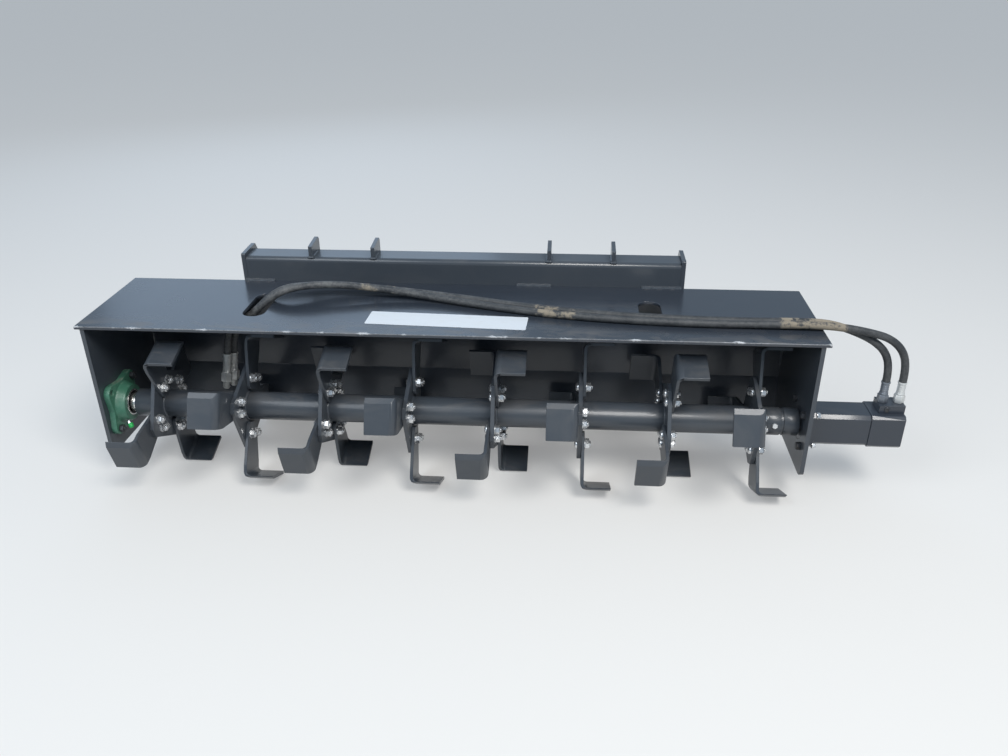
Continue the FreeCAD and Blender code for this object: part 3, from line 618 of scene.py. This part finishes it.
# %% Hose routes
HOSE_DIAMETER = 0.018
DECK_GAP = 0.0004
LYING = deck_high.z + HOSE_DIAMETER / 2 + DECK_GAP
port_low, port_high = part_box("port_fitting_pressure")
return_low, return_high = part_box("port_fitting_return")
AXIS_Y = (port_low.y + port_high.y) / 2
PORT_TOP = port_high.z - LYING
PORT_OUTER = (port_low.x + port_high.x) / 2
PORT_INNER = (return_low.x + return_high.x) / 2
first_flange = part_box("rotor_flange_1")
second_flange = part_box("rotor_flange_2")
BLADE_GAP = (first_flange[0].x + second_flange[1].x) / 2
hose_routes = {
    # x, y and rise
    "pressure": [
        (PORT_OUTER, AXIS_Y, PORT_TOP), (PORT_OUTER, AXIS_Y, -0.100),
        (1.051, AXIS_Y - 0.001, -0.057), (1.016, AXIS_Y - 0.003, -0.026),
        (0.967, AXIS_Y - 0.006, -0.011), (0.905, AXIS_Y - 0.008, 0.001),
        (0.835, AXIS_Y - 0.007, 0.005), (0.726, AXIS_Y - 0.003, 0.001),
        (0.560, AXIS_Y - 0.003, 0), (0.355, -0.276, 0), (0.190, -0.246, 0), (0.050, -0.204, 0),
        (-0.060, -0.173, 0.004), (-0.155, -0.157, 0.012), (-0.240, -0.153, 0.020),
        (-0.315, -0.160, 0.026), (-0.378, -0.179, 0.028), (-0.433, -0.198, 0.018),
        (-0.475, -0.212, -0.010), (-0.509, -0.210, -0.041), (-0.543, -0.193, -0.063),
        (-0.577, -0.158, -0.079), (-0.599, -0.138, -0.107), (BLADE_GAP + 0.009, -0.130, -0.150),
        (BLADE_GAP + 0.005, -0.137, -0.186),
    ],
    "return": [
        (PORT_INNER, AXIS_Y, PORT_TOP), (PORT_INNER, AXIS_Y, -0.104),
        (1.014, AXIS_Y + 0.002, -0.063), (0.982, AXIS_Y + 0.006, -0.036),
        (0.938, AXIS_Y + 0.011, -0.017), (0.882, AXIS_Y + 0.014, 0.001),
        (0.815, AXIS_Y + 0.015, 0.003), (0.690, AXIS_Y + 0.017, 0), (0.540, AXIS_Y + 0.021, 0),
        (0.345, -0.250, 0), (0.180, -0.216, 0), (0.040, -0.174, 0), (-0.070, -0.145, 0),
        (-0.160, -0.130, 0.003), (-0.240, -0.127, 0.009), (-0.312, -0.134, 0.015),
        (-0.372, -0.153, 0.020), (-0.428, -0.175, 0.020), (-0.470, -0.190, -0.004),
        (-0.503, -0.187, -0.041), (-0.535, -0.167, -0.073), (-0.565, -0.140, -0.095),
        (-0.587, -0.116, -0.119), (BLADE_GAP + 0.011, -0.098, -0.163),
        (BLADE_GAP + 0.007, -0.101, -0.199),
    ],
}
print("route points:", {which: len(route) for which, route in hose_routes.items()})

# %% [markdown]
# Each hose is one smooth NURBS curve, steered by its route, and the curve's own bevel makes it a
# round tube. Before the bevel is set, the bare curve gives the hose's middle line and length.
# Converted to a mesh, the tube keeps a UV map that runs along it, for the marks of the wrap.

# %% Hose tubes
CURVE_STEPS = 8
TUBE_STEPS = 5


def hose_line(name, route):
    line = bpy.data.curves.new(name, "CURVE")
    line.dimensions = "3D"
    line.resolution_u = CURVE_STEPS
    spline = line.splines.new("NURBS")
    spline.points.add(len(route) - 1)
    for control, place in zip(spline.points, route):
        control.co = (*place, 1)
    spline.order_u = 3
    spline.use_endpoint_u = True
    curve = bpy.data.objects.new(name, line)
    bpy.context.scene.collection.objects.link(curve)
    return curve


hoses = {}
for which, route in hose_routes.items():
    curve = hose_line("hose_cover_" + which, [(x, y, LYING + rise) for x, y, rise in route])
    bare = bpy.data.meshes.new_from_object(curve)
    path = [vertex.co.copy() for vertex in bare.vertices]
    length = sum((b - a).length for a, b in zip(path, path[1:]))
    curve.data.bevel_depth = HOSE_DIAMETER / 2
    curve.data.bevel_resolution = TUBE_STEPS
    curve.data.use_fill_caps = True
    deselect()
    curve.select_set(True)
    bpy.context.view_layer.objects.active = curve
    bpy.ops.object.convert(target="MESH")
    hose = bpy.context.object
    bpy.ops.object.shade_smooth()
    paint_over(hose, rubber)
    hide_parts("hose_" + which)
    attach(hose, "frame")
    hoses[which] = (hose, path, length)
    faces = len(hose.data.polygons)
    print(which, "hose", round(length, 3), "m,", faces, "faces, UV", len(hose.data.uv_layers))

# %% [markdown]
# Every hose end is a crimped ferrule and a nut. The crimping dies leave ring grooves in the
# ferrule, so its profile steps in and out four times between a smooth lip and a shoulder. At the
# loose ends a swivel nut and a short threaded stub follow. All three are modelled once, laid along
# the last stretch of each route and joined.

# %% Loose hose ends
CRIMP_MARKS = 4
CRIMP_START = 0.0055
FERRULE_RADIUS = 0.012
FERRULE_LENGTH = 0.052
NUT_ACROSS = 0.026
NUT_LENGTH = 0.024
NUT_TURN = 0.3
STUB_RADIUS = 0.0095
STUB_LENGTH = 0.020
STUB_PITCH = 1.8 * MM


def crimped_ferrule(name, radius, length):
    # Smooth lip, a waist with the die marks, then the shoulder that holds the nut
    neck = radius * 0.86
    rows = [(0.0, radius * 0.94), (0.0012, radius), (0.004, radius), (CRIMP_START, neck)]
    span = (length - 0.012) / CRIMP_MARKS
    for i in range(CRIMP_MARKS):
        start = CRIMP_START + i * span
        rows.append((start + span * 0.70, neck))
        rows.append((start + span * 0.78, neck * 1.06))
        rows.append((start + span * 0.92, neck * 1.06))
        rows.append((start + span, neck))
    rows.append((length - 0.004, radius * 0.98))
    rows.append((length, radius * 0.92))
    return turned(name, 24, rows)


ferrule = crimped_ferrule("ferrule", FERRULE_RADIUS, FERRULE_LENGTH)
swivel_nut = hex_nut("swivel_nut", NUT_ACROSS, NUT_LENGTH)
rows = thread_rows(0.0, STUB_LENGTH - 0.001, STUB_RADIUS, STUB_PITCH)
rows.append((STUB_LENGTH, STUB_RADIUS * 0.72))
rows.append((STUB_LENGTH - 0.003, STUB_RADIUS * 0.60))
stub = turned("stub", 20, rows)
for which, (hose, path, length) in hoses.items():
    tip = path[-1]
    aim = Vector([b - a for a, b in zip(*hose_routes[which][-2:])]).normalized()
    nut_base = tip + aim * FERRULE_LENGTH
    fitting = joined("hose_end_fitting_" + which, [
        copy_of(ferrule, along(tip, aim)),
        copy_of(swivel_nut, along(nut_base, aim, NUT_TURN)),
        copy_of(stub, along(nut_base + aim * NUT_LENGTH, aim)),
    ])
    paint_over(fitting, dull_zinc)
    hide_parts("hose_end_" + which)
    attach(fitting, "frame")
    print(which, "hose ends at", [round(v, 3) for v in tip])
put_away(ferrule, swivel_nut, stub)

# %% [markdown]
# At the motor a nut holds each ferrule on the port block, with the ferrule upside down on it. The
# outer one is still bright, and the inner one has gone grey, so they differ in their paint alone.

# %% Port fittings
PORT_NUT_ACROSS = 0.0225
PORT_NUT_HEIGHT = 0.020
PORT_FERRULE_RADIUS = 0.0106
for which, metal in (("pressure", dull_zinc), ("return", grey_zinc)):
    low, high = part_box("port_fitting_" + which)
    x = (low.x + high.x) / 2
    nut = hex_nut("port_nut", PORT_NUT_ACROSS, PORT_NUT_HEIGHT)
    sleeve_length = high.z - low.z - PORT_NUT_HEIGHT
    sleeve = crimped_ferrule("port_ferrule", PORT_FERRULE_RADIUS, sleeve_length)
    fitting = joined("port_crimp_" + which, [
        placed(nut, along((x, AXIS_Y, low.z), (0, 0, 1))),
        placed(sleeve, along((x, AXIS_Y, high.z), (0, 0, -1))),
    ])
    paint_over(fitting, metal)
    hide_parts("port_fitting_" + which)
    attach(fitting, "frame")
    print(which, "port sleeve", round(sleeve_length, 4), "m")

# %% [markdown]
# Each tine is held by two bolts through the flange: a domed head on one face, and on the other a
# washer, a nut and a few turns of thread. One bolt is modelled, then copied to all 64 places,
# worked out from the flange's own position and the turn of its tines. Every second flange is
# turned further, and the tines stand in turn on its left and right face.

# %% Tine bolts
BOLT_RADIUS = 0.006
BOLT_PITCH = 1.75 * MM
BOLT_HEAD_RADIUS = 0.0115
BOLT_NUT_ACROSS = 0.019
WASHER_RADIUS = 0.0125
WASHER = 0.002
NUT_HEIGHT = 0.010
THREAD_END = 0.004
TINE_PLATE = 0.008
SEAT_GAP = 0.0003
BOLT_RING = 0.070
BOLT_HALF_SPACING = 0.0145
STATIONS = range(1, 9)
TINES_PER_FLANGE = 4
FRONT_TINE_ANGLE = 24.0
STATION_TWIST = 48.5
axis_place = Vector(frame["joints"][0]["pos_m"])


def on_axis(x):
    return Vector((x, axis_place.y, axis_place.z))


def outward_at(degrees):
    # Away from the rotor's axis, turned up from the open front
    angle = math.radians(degrees)
    return Vector((0, -math.cos(angle), math.sin(angle)))


def tine_bolt(grip):
    # Domed head below zero, then washer, nut and thread above the grip
    head = turned("head", 16, [
        (0.0, BOLT_HEAD_RADIUS), (-0.0015, BOLT_HEAD_RADIUS), (-0.0045, BOLT_HEAD_RADIUS * 0.86),
        (-0.0065, BOLT_HEAD_RADIUS * 0.58), (-0.0075, BOLT_HEAD_RADIUS * 0.2),
    ])
    washer = turned("washer", 20, [(grip, WASHER_RADIUS), (grip + WASHER, WASHER_RADIUS)])
    nut = hex_nut("nut", BOLT_NUT_ACROSS, NUT_HEIGHT)
    placed(nut, Matrix.Translation((0, 0, grip + WASHER)))
    top = grip + WASHER + NUT_HEIGHT
    rows = thread_rows(top, THREAD_END - 0.0005, BOLT_RADIUS, BOLT_PITCH)
    rows.append((top + THREAD_END, BOLT_RADIUS * 0.7))
    thread = turned("thread", 12, rows)
    return joined("tine_bolt", [head, washer, nut, thread])


flange_low, flange_high = first_flange
FLANGE_PLATE = flange_high.x - flange_low.x
bolt = paint_over(tine_bolt(FLANGE_PLATE + TINE_PLATE + SEAT_GAP), zinc)
bolt_total = 0
for station in STATIONS:
    low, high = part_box(f"rotor_flange_{station}")
    middle = (low.x + high.x) / 2
    odd = station % 2 == 1
    copies = []
    for i in range(TINES_PER_FLANGE):
        degrees = FRONT_TINE_ANGLE + 90 * i + (STATION_TWIST if odd else 0)
        tine_on_right = (i % 2 == 0) == odd
        start = middle - FLANGE_PLATE / 2 - (0 if tine_on_right else TINE_PLATE + SEAT_GAP)
        outward = outward_at(degrees)
        sideways = outward_at(degrees + 90)
        for offset in (-BOLT_HALF_SPACING, BOLT_HALF_SPACING):
            place = on_axis(start) + outward * BOLT_RING + sideways * offset
            copies.append(copy_of(bolt, along(place, (1, 0, 0), random.uniform(0, 1.0))))
    bolt_total += len(copies)
    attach(joined(f"tine_bolts_{station}", copies), "rotor")
put_away(bolt)
print("tine bolts:", bolt_total)

# %% [markdown]
# The hood and rotor are welded. A hand-laid bead is a row of overlapping scales, a few millimetres
# each. For a bead round the tube, a torus is added and every second of its rings is shrunk a
# little. A straight bead is a cylinder whose long edges are subdivided into rings in the same way.
# Both sink halfway into the plates that they join, so only the outer half shows.

# %% Weld bead helpers
BEAD_RADIUS = 0.0042
SCALE_LENGTH = 0.0035
BEAD_SIDES = 8
DIP = 0.84
TAIL = 0.5
SWELL = 0.10
BEAD_SMOOTH_ANGLE = math.radians(50)


def ring_bead(name, place, radius):
    deselect()
    rings = 2 * int(math.pi * radius / SCALE_LENGTH)
    bpy.ops.mesh.primitive_torus_add(
        major_radius=radius, minor_radius=BEAD_RADIUS, major_segments=rings,
        minor_segments=BEAD_SIDES, location=(0, 0, 0), rotation=(0, 0, 0),
    )
    piece = bpy.context.object
    piece.name = name
    step = math.tau / rings
    for vertex in piece.data.vertices:
        turn = math.atan2(vertex.co.y, vertex.co.x)
        index = round(turn / step) % rings
        core = Vector((radius * math.cos(turn), radius * math.sin(turn), 0))
        swell = 1.0 + SWELL * math.sin(turn * 5.0 + place[0] * 40)
        vertex.co = core + (vertex.co - core) * swell * (DIP if index % 2 else 1.0)
    placed(piece, along(place, (1, 0, 0)))
    bpy.ops.object.shade_smooth_by_angle(angle=BEAD_SMOOTH_ANGLE)
    return piece


def straight_bead(name, start, end, bead=BEAD_RADIUS):
    deselect()
    start, end = Vector(start), Vector(end)
    length = (end - start).length
    rings = 2 * max(4, int(length / SCALE_LENGTH))
    bpy.ops.mesh.primitive_cylinder_add(
        vertices=BEAD_SIDES, radius=bead, depth=length, location=(0, 0, 0),
    )
    piece = bpy.context.object
    piece.name = name
    placed(piece, Matrix.Translation((0, 0, length / 2)))
    bpy.ops.object.mode_set(mode="EDIT")
    bpy.ops.mesh.select_all(action="DESELECT")
    bpy.ops.object.mode_set(mode="OBJECT")
    for edge in piece.data.edges:
        a, b = (piece.data.vertices[i].co for i in edge.vertices)
        edge.select = abs(a.z - b.z) > length / 2
    bpy.ops.object.mode_set(mode="EDIT")
    bpy.ops.mesh.subdivide(number_cuts=rings - 1, quadcorner="INNERVERT")
    bpy.ops.object.mode_set(mode="OBJECT")
    for vertex in piece.data.vertices:
        index = round(vertex.co.z / (length / rings))
        swell = 1.0 + SWELL * math.sin(index * 0.37 + start.x * 30)
        shrink = DIP if index % 2 else 1.0
        if index in (0, rings):
            shrink = TAIL
        vertex.co.x *= swell * shrink
        vertex.co.y *= swell * shrink
    placed(piece, along(start, end - start))
    bpy.ops.object.shade_smooth_by_angle(angle=BEAD_SMOOTH_ANGLE)
    return piece


print("bead scale", SCALE_LENGTH / MM, "mm")

# %% [markdown]
# Each flange is welded to the rotor's tube all round on both of its faces. The beads are painted
# over with the rotor, and they turn with it.

# %% Rotor welds
tube_low, tube_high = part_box("rotor_tube")
TUBE_RADIUS = (tube_high.z - tube_low.z) / 2
rings = []
for station in STATIONS:
    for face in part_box(f"rotor_flange_{station}"):
        rings.append(ring_bead("ring", on_axis(face.x), TUBE_RADIUS))
rotor_welds = paint_over(joined("rotor_welds", rings), rotor_paint)
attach(rotor_welds, "rotor")
print("rotor weld faces:", len(rotor_welds.data.polygons))

# %% [markdown]
# On the hood, long beads run in the inner corners, short ones are stitched outside, three stitches
# hold the hitch frame's front to the deck, and each lug has a bead on both faces and its front.
# Small tables hold the places, read off the photograph where a bead shows there.

# %% Hood and hitch welds
CORNER_MARGIN = 0.01
WALL_FOLD = 0.22
HITCH_STITCHES = ((-0.572, -0.492), (0.145, 0.236), (0.465, 0.570))
STITCH_RADIUS = 0.006
OUTSIDE_STARTS = (-0.34, -0.20, -0.10)
OUTSIDE_LENGTH = 0.05
LUG_PLATE = 0.010
LUG_PLACES = (-0.391, -0.227, 0.229, 0.393)
LUG_BEAD_ENDS = (0.006, 0.05)
LUG_BEAD = 0.0035
LUG_FRONT_BEAD = 0.004
LUG_FRONT_REACH = 0.008
top_low, top_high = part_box("hitch_top_beam")
side_low, side_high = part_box("side_plate_left")
right_low, right_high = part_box("side_plate_right")
deck_top, deck_under = deck_high.z, deck_low.z
beam_front, beam_top = top_low.y, top_high.z
corner_ends = (side_low.y + CORNER_MARGIN, side_high.y - CORNER_MARGIN)
wall_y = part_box("back_panel")[1].y - 0.008
lug_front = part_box("hitch_lugs")[0].y
beads = []
for stitch in HITCH_STITCHES:
    ends = [(x, beam_front, deck_top) for x in stitch]
    beads.append(straight_bead("stitch", *ends, STITCH_RADIUS))
for x in (side_high.x, right_low.x):
    beads.append(straight_bead("corner", *[(x, y, deck_under) for y in corner_ends]))
    upright = [(x, wall_y, z) for z in (WALL_FOLD, deck_under - CORNER_MARGIN)]
    beads.append(straight_bead("corner", *upright))
for x in (side_low.x, right_high.x):
    for start in OUTSIDE_STARTS:
        ends = [(x, y, deck_under) for y in (start, start + OUTSIDE_LENGTH)]
        beads.append(straight_bead("outside", *ends))
for place in LUG_PLACES:
    for x in (place - LUG_PLATE / 2, place + LUG_PLATE / 2):
        ends = [(x, lug_front + reach, beam_top) for reach in LUG_BEAD_ENDS]
        beads.append(straight_bead("lug", *ends, LUG_BEAD))
    ends = [(place + reach, lug_front, beam_top) for reach in (-LUG_FRONT_REACH, LUG_FRONT_REACH)]
    beads.append(straight_bead("lug_front", *ends, LUG_FRONT_BEAD))
frame_welds = paint_over(joined("frame_welds", beads), frame_paint)
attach(frame_welds, "frame")
print("frame beads:", len(beads), "faces:", len(frame_welds.data.polygons))

# %% [markdown]
# The bearing insert sits in the green housing: an outer ring, a black seal and a bright inner ring
# with a groove. The locking ring beside it has two grub screws with sunk sockets. The insert and
# seal stay with the housing, and the screws turn with the rotor.

# %% Bearing insert and grub screws
house_face = on_axis(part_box("bearing_housing")[1].x)
insert = turned("bearing_insert", 40, [
    (-0.002, 0.0335), (0.0012, 0.0332), (0.0018, 0.0325), (0.0018, 0.0302), (0.0008, 0.0298),
])
seal = turned("bearing_seal", 40, [
    (-0.002, 0.0299), (0.0008, 0.0299), (0.0012, 0.0290), (0.0008, 0.0258),
])
for ring, material in ((insert, machined), (seal, seal_black)):
    paint_over(placed(ring, along(house_face, (1, 0, 0))), material)
    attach(ring, "frame")

GRUB_TURNS = (-28, 92)
GRUB_SINK = 0.0012
collar_low, collar_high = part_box("shaft_collar")
collar_radius = (collar_high.z - collar_low.z) / 2
collar_middle = (collar_low.x + collar_high.x) / 2
screw = turned("grub_screw", 12, [
    (0.0, 0.0034), (0.0016, 0.0034), (0.0016, 0.0018), (0.0006, 0.0016),
])
screws = []
for degrees in GRUB_TURNS:
    out = outward_at(degrees)
    seat = on_axis(collar_middle) + out * (collar_radius - GRUB_SINK)
    screws.append(copy_of(screw, along(seat, out)))
put_away(screw)
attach(paint_over(joined("grub_screws", screws), dark_steel), "rotor")
print("collar radius", round(collar_radius / MM, 1), "mm")

# %% [markdown]
# A grease nipple stands on the housing's lower edge and points down to the front, under a bright
# green cap. It is a six-sided foot with a thin neck, and the cap is a rounded cup over it.

# %% Grease nipple
NIPPLE_SEAT = Vector((-0.8210, -0.326, 0.1420))
NIPPLE_AIM = Vector((0.55, -0.45, -0.70)).normalized()
nipple = turned("grease_nipple", 6, [
    (-0.003, 0.0045), (0.004, 0.0045), (0.0045, 0.0030), (0.009, 0.0030),
])
cap = turned("nipple_cap", 16, [
    (0.004, 0.0058), (0.006, 0.0066), (0.013, 0.0062), (0.0155, 0.0045), (0.0162, 0.0015),
])
for piece, material in ((nipple, zinc), (cap, cap_green)):
    paint_over(placed(piece, along(NIPPLE_SEAT, NIPPLE_AIM)), material)
    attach(piece, "frame")
print("nipple at", [round(v, 3) for v in NIPPLE_SEAT])

# %% [markdown]
# Plain hexagon bolts hold the bearing and the motor. Both are laid out on a square round the axis,
# so one table gives the plane on which the bolts sit, half the square's side and their sizes. No
# two bolts stop at the same angle, so each gets a random turn.

# %% Bearing and motor bolts
def hex_bolt(name, across, height, washer):
    # A head on a thin washer; it sits on z = 0 and points up
    corner = across / math.sqrt(3)
    disc = turned("disc", 20, [(0.0, across * 0.62), (washer, across * 0.62)])
    head = turned("bolt_head", 6, [
        (washer, corner), (washer + height * 0.85, corner), (washer + height, corner * 0.88),
        (washer + height, corner * 0.5),
    ])
    return joined(name, [disc, head])


HOUSING_BOLT = 0.050
CAP_BOLT_SINK = 0.0005
flange_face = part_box("motor_flange")[1].x
cap_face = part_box("motor_end_cap")[1].x - CAP_BOLT_SINK
bolt_sets = [
    # name, plane, direction, half the square's side, across flats, head height, washer, paint
    ("bearing_bolts", side_low.x, -1, HOUSING_BOLT, 0.017, 0.0075, 0.0015, zinc),
    ("motor_flange_bolts", flange_face, 1, 0.0405, 0.013, 0.007, 0.001, zinc),
    ("motor_flange_nuts", right_low.x, -1, 0.0425, 0.016, 0.008, 0.0015, dark_steel),
    ("motor_cap_bolts", cap_face, 1, 0.031, 0.011, 0.0015, 0.0005, motor_paint),
]
for name, plane, direction, half, across, height, washer, paint in bolt_sets:
    bolt = hex_bolt("hex_bolt", across, height, washer)
    copies = []
    for y, z in ((-half, -half), (half, -half), (half, half), (-half, half)):
        seat = (plane, axis_place.y + y, axis_place.z + z)
        copies.append(copy_of(bolt, along(seat, (direction, 0, 0), random.uniform(0, 1.0))))
    put_away(bolt)
    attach(paint_over(joined(name, copies), paint), "frame")
print("bolts on squares:", 4 * len(bolt_sets))

# %% [markdown]
# The bearing's bolts come through from outside and end in the housing's corner holes. Three carry
# nuts, and the fourth, at the upper front, stops short in an open hole.

# %% Bearing bolt ends
NUT_SEAT = 0.015
NUT_LIFT = 0.0003
STEM_RADIUS = 0.0052
STEM_TIP = 0.0042
nut = hex_nut("housing_nut", 0.017, 0.010)
ends = []
for y, z, nutted in ((-1, -1, True), (1, -1, True), (1, 1, True), (-1, 1, False)):
    seat = (side_high.x, axis_place.y + y * HOUSING_BOLT, axis_place.z + z * HOUSING_BOLT)
    reach = NUT_SEAT + 0.014 if nutted else NUT_SEAT - 0.004
    stem = turned("stem", 12, [
        (0.001, STEM_RADIUS), (reach - 0.001, STEM_RADIUS), (reach, STEM_TIP),
    ])
    ends.append(placed(stem, along(seat, (1, 0, 0))))
    if nutted:
        nut_place = Vector(seat) + Vector((NUT_SEAT + NUT_LIFT, 0, 0))
        ends.append(copy_of(nut, along(nut_place, (1, 0, 0), 0.4 + y)))
put_away(nut)
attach(paint_over(joined("bearing_bolt_ends", ends), dark_steel), "frame")
print("bolt ends and nuts:", len(ends))

# %% [markdown]
# The port block has a round plug with a sunk socket on its front, and the coupling between the
# tube and the motor's shaft is locked by two hexagon screws on opposite sides.

# %% Plug and coupling screws
PLUG_INSET = 0.018
PLUG_RISE = 0.010
block_low, block_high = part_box("port_block")
port_plug = turned("port_plug", 16, [
    (-0.002, 0.0068), (0.0012, 0.0068), (0.0018, 0.0062), (0.0018, 0.0034), (0.0004, 0.0030),
])
plug_place = (block_low.x + PLUG_INSET, block_low.y, block_low.z + PLUG_RISE)
paint_over(placed(port_plug, along(plug_place, (0, -1, 0))), dark_steel)
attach(port_plug, "frame")

LOCK_TURNS = (10, 190)
LOCK_INSET = 0.020
LOCK_SINK = 0.0015
coupling_low, coupling_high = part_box("rotor_coupling")
COUPLING_RADIUS = (coupling_high.z - coupling_low.z) / 2
lock = turned("lock", 6, [(0.0, 0.0075), (0.0055, 0.0075), (0.0065, 0.0064)])
locks = []
for degrees in LOCK_TURNS:
    out = outward_at(degrees)
    seat = on_axis(coupling_low.x + LOCK_INSET) + out * (COUPLING_RADIUS - LOCK_SINK)
    locks.append(copy_of(lock, along(seat, out)))
put_away(lock)
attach(paint_over(joined("coupling_screws", locks), zinc), "rotor")
print("coupling screws:", len(locks))

# %% [markdown]
# The white label on the deck is blank here. It is a plane with its corners rounded by a bevel of
# its vertices, made a thin sheet by Solidify and laid a hair above the paint, slightly askew.

# %% Label
LABEL_LENGTH = 0.380
LABEL_WIDTH = 0.074
LABEL_CORNER = 0.004
LABEL_THICKNESS = 0.0003
LABEL_TURN = math.radians(-2.5)
LABEL_PLACE = Vector((-0.0045, -0.2875, deck_top + 0.0004))
deselect()
bpy.ops.mesh.primitive_plane_add(size=1, location=(0, 0, 0))
label = bpy.context.object
label.name = "blank_label"
placed(label, Matrix.Diagonal((LABEL_LENGTH, LABEL_WIDTH, 1, 1)))
bpy.ops.object.mode_set(mode="EDIT")
bpy.ops.mesh.select_all(action="SELECT")
bpy.ops.mesh.bevel(offset=LABEL_CORNER, segments=4, affect="VERTICES")
bpy.ops.object.mode_set(mode="OBJECT")
thickness = label.modifiers.new("film", "SOLIDIFY")
thickness.thickness = LABEL_THICKNESS
thickness.offset = 0
bpy.ops.object.modifier_apply(modifier="film")
placed(label, Matrix.Translation(LABEL_PLACE) @ Matrix.Rotation(LABEL_TURN, 4, "Z"))
paint_over(label, label_paint)
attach(label, "frame")
print("label faces:", len(label.data.polygons))

# %% [markdown]
# Added pieces must stay inside the box of the CAD model, or the part would no longer fit where it
# is meant to. The box is measured again, and how far each of its corners moved is printed.

# %% Sizes
new_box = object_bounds()
for old, new in zip(cad_box, new_box):
    print("box corner moved by mm", [round((b - a) / MM, 2) for a, b in zip(old, new)])
